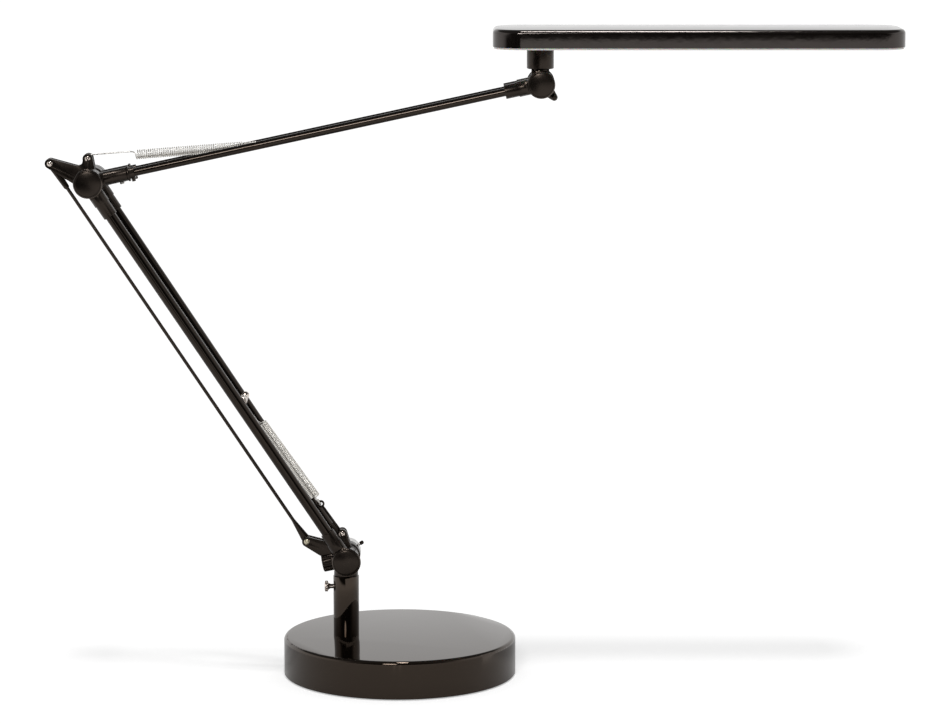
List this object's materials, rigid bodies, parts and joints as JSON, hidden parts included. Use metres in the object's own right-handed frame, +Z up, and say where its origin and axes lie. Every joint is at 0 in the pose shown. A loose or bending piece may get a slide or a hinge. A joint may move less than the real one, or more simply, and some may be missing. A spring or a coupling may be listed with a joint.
{
  "type": "balanced-arm desk lamp",
  "caption": "Balanced-arm LED desk lamp: flat swivelling head on two sprung twin-tube arms with a levelling rod, on a round weighted base.",
  "frame": {"origin": "centre of the base's underside", "axes": "+X along the arms and the head towards the head's tip, +Y to the rear where the cord enters, +Z up"},
  "size_m": [0.7247, 0.2008, 0.5577],
  "materials": {
    "gloss_black": "gloss black paint",
    "tube_black": "satin gloss black paint",
    "satin_black": "satin black paint",
    "moulded_black": "satin black moulding",
    "head_black": "gloss black moulding",
    "inner_black": "plain moulding",
    "steel": "bright steel",
    "spring_steel": "nickel-plated spring wire",
    "nickel": "nickel plate",
    "brass": "plain",
    "turned_aluminium": "turned",
    "iron": "as cast",
    "pad_rubber": "matt",
    "diffuser_white": "opal",
    "board_white": "solder mask",
    "chip_yellow": "phosphor",
    "spreader": "extruded"
  },
  "bodies": {
    "base": {"base_cover": "gloss_black", "base_weight": "iron", "weight_screws": "steel", "base_pad": "pad_rubber", "cord_grommet": "moulded_black", "post": "gloss_black", "post_bush": "inner_black", "post_washer": "steel", "post_nut": "steel"},
    "thumbscrew": {"thumbscrew": "nickel"},
    "swivel": {"swivel_stem": "satin_black", "base_crank_plates": "satin_black", "friction_washers": "inner_black", "rod_rivet_lower": "brass", "spring_rivet_lower": "nickel"},
    "tension_knob": {"tension_knob": "moulded_black", "knob_stud": "steel"},
    "lower_arm": {"base_sockets": "moulded_black", "elbow_sockets": "moulded_black", "lower_tubes": "tube_black", "base_bolt": "steel", "base_cap": "moulded_black", "elbow_bolt": "steel", "elbow_cap": "moulded_black", "lower_trim_rings": "nickel", "elbow_drum": "turned_aluminium", "lower_spring_anchor": "nickel"},
    "lock": {"lock_drum": "turned_aluminium", "lock_lever": "steel", "lever_tip": "moulded_black"},
    "rod": {"parallel_rod": "satin_black"},
    "spring_link": {"spring_link": "steel"},
    "lower_spring": {"lower_spring": "spring_steel"},
    "elbow_crank": {"elbow_crank_plates": "satin_black", "elbow_spacer": "inner_black", "elbow_rivets": "nickel"},
    "upper_arm": {"upper_sockets": "moulded_black", "head_sockets": "moulded_black", "upper_tubes": "tube_black", "tube_collars": "moulded_black", "sleeve_screws": "steel", "upper_spring_anchor": "satin_black", "upper_spring": "spring_steel", "head_bolt": "steel", "head_caps": "moulded_black", "head_trim_rings": "nickel"},
    "head_knuckle": {"head_knuckle": "satin_black", "stop_peg": "steel", "spigot_clip": "steel"},
    "head": {"head_shell": "head_black", "head_frame": "inner_black", "diffuser": "diffuser_white", "led_board": "board_white", "led_chips": "chip_yellow", "heat_spreader": "spreader", "head_stub": "satin_black", "head_screws": "steel", "switch_body": "inner_black"},
    "power_button": {"power_button": "moulded_black"}
  },
  "joints": [
    {"name": "thumbscrew_turn", "type": "hinge", "parent": "base", "child": "thumbscrew", "pos_m": [-0.0462, 0, 0.0764], "axis": [1, 0, 0], "range_deg": [-90, 90]},
    {"name": "arm_swivel", "type": "hinge", "parent": "base", "child": "swivel", "pos_m": [-0.0462, 0, 0.0865], "axis": [0, 0, 1], "range_deg": [-170, 170]},
    {"name": "tension_turn", "type": "hinge", "parent": "swivel", "child": "tension_knob", "pos_m": [-0.0452, 0, 0.1015], "axis": [-0.9799, 0, -0.1994], "range_deg": [-180, 180]},
    {"name": "base_tilt", "type": "hinge", "parent": "swivel", "child": "lower_arm", "pos_m": [-0.0452, 0, 0.1015], "axis": [0, 1, 0], "range_deg": [-15, 35], "deforming": ["lower_spring"]},
    {"name": "lock_turn", "type": "hinge", "parent": "lower_arm", "child": "lock", "pos_m": [-0.0452, 0, 0.1015], "axis": [0, 1, 0], "range_deg": [-60, 60]},
    {"name": "rod_swing", "type": "hinge", "parent": "swivel", "child": "rod", "pos_m": [-0.0795, 0, 0.1163], "axis": [0, 1, 0], "range_deg": [-15, 35]},
    {"name": "link_swing", "type": "hinge", "parent": "swivel", "child": "spring_link", "pos_m": [-0.0494, 0, 0.123], "axis": [0, 1, 0], "range_deg": [-18, 41]},
    {"name": "lower_spring_swing", "type": "hinge", "parent": "lower_arm", "child": "lower_spring", "pos_m": [-0.1325, 0, 0.24098], "axis": [0, 1, 0], "range_deg": [-3, 6]},
    {"name": "crank_level", "type": "hinge", "parent": "lower_arm", "child": "elbow_crank", "pos_m": [-0.26044, 0, 0.42793], "axis": [0, 1, 0], "range_deg": [-35, 15]},
    {"name": "elbow_tilt", "type": "hinge", "parent": "elbow_crank", "child": "upper_arm", "pos_m": [-0.26044, 0, 0.42793], "axis": [0, 1, 0], "range_deg": [-40, 22], "deforming": ["upper_spring"]},
    {"name": "head_tilt", "type": "hinge", "parent": "upper_arm", "child": "head_knuckle", "pos_m": [0.12075, 0, 0.51034], "axis": [0, 1, 0], "range_deg": [-30, 40]},
    {"name": "head_turn", "type": "hinge", "parent": "head_knuckle", "child": "head", "pos_m": [0.12015, 0, 0.54], "axis": [0, 0, 1], "range_deg": [-90, 90]},
    {"name": "button_press", "type": "slide", "parent": "head", "child": "power_button", "axis": [0, 0, 1], "range_m": [0, 0.0008], "stiffness_N_per_m": 600}
  ],
  "couplings": [
    {"joint": "rod_swing", "follows": "base_tilt", "ratio": 1},
    {"joint": "crank_level", "follows": "base_tilt", "ratio": -1},
    {"joint": "link_swing", "follows": "base_tilt", "ratio": 1.14},
    {"joint": "lower_spring_swing", "follows": "base_tilt", "ratio": 0.14}
  ]
}
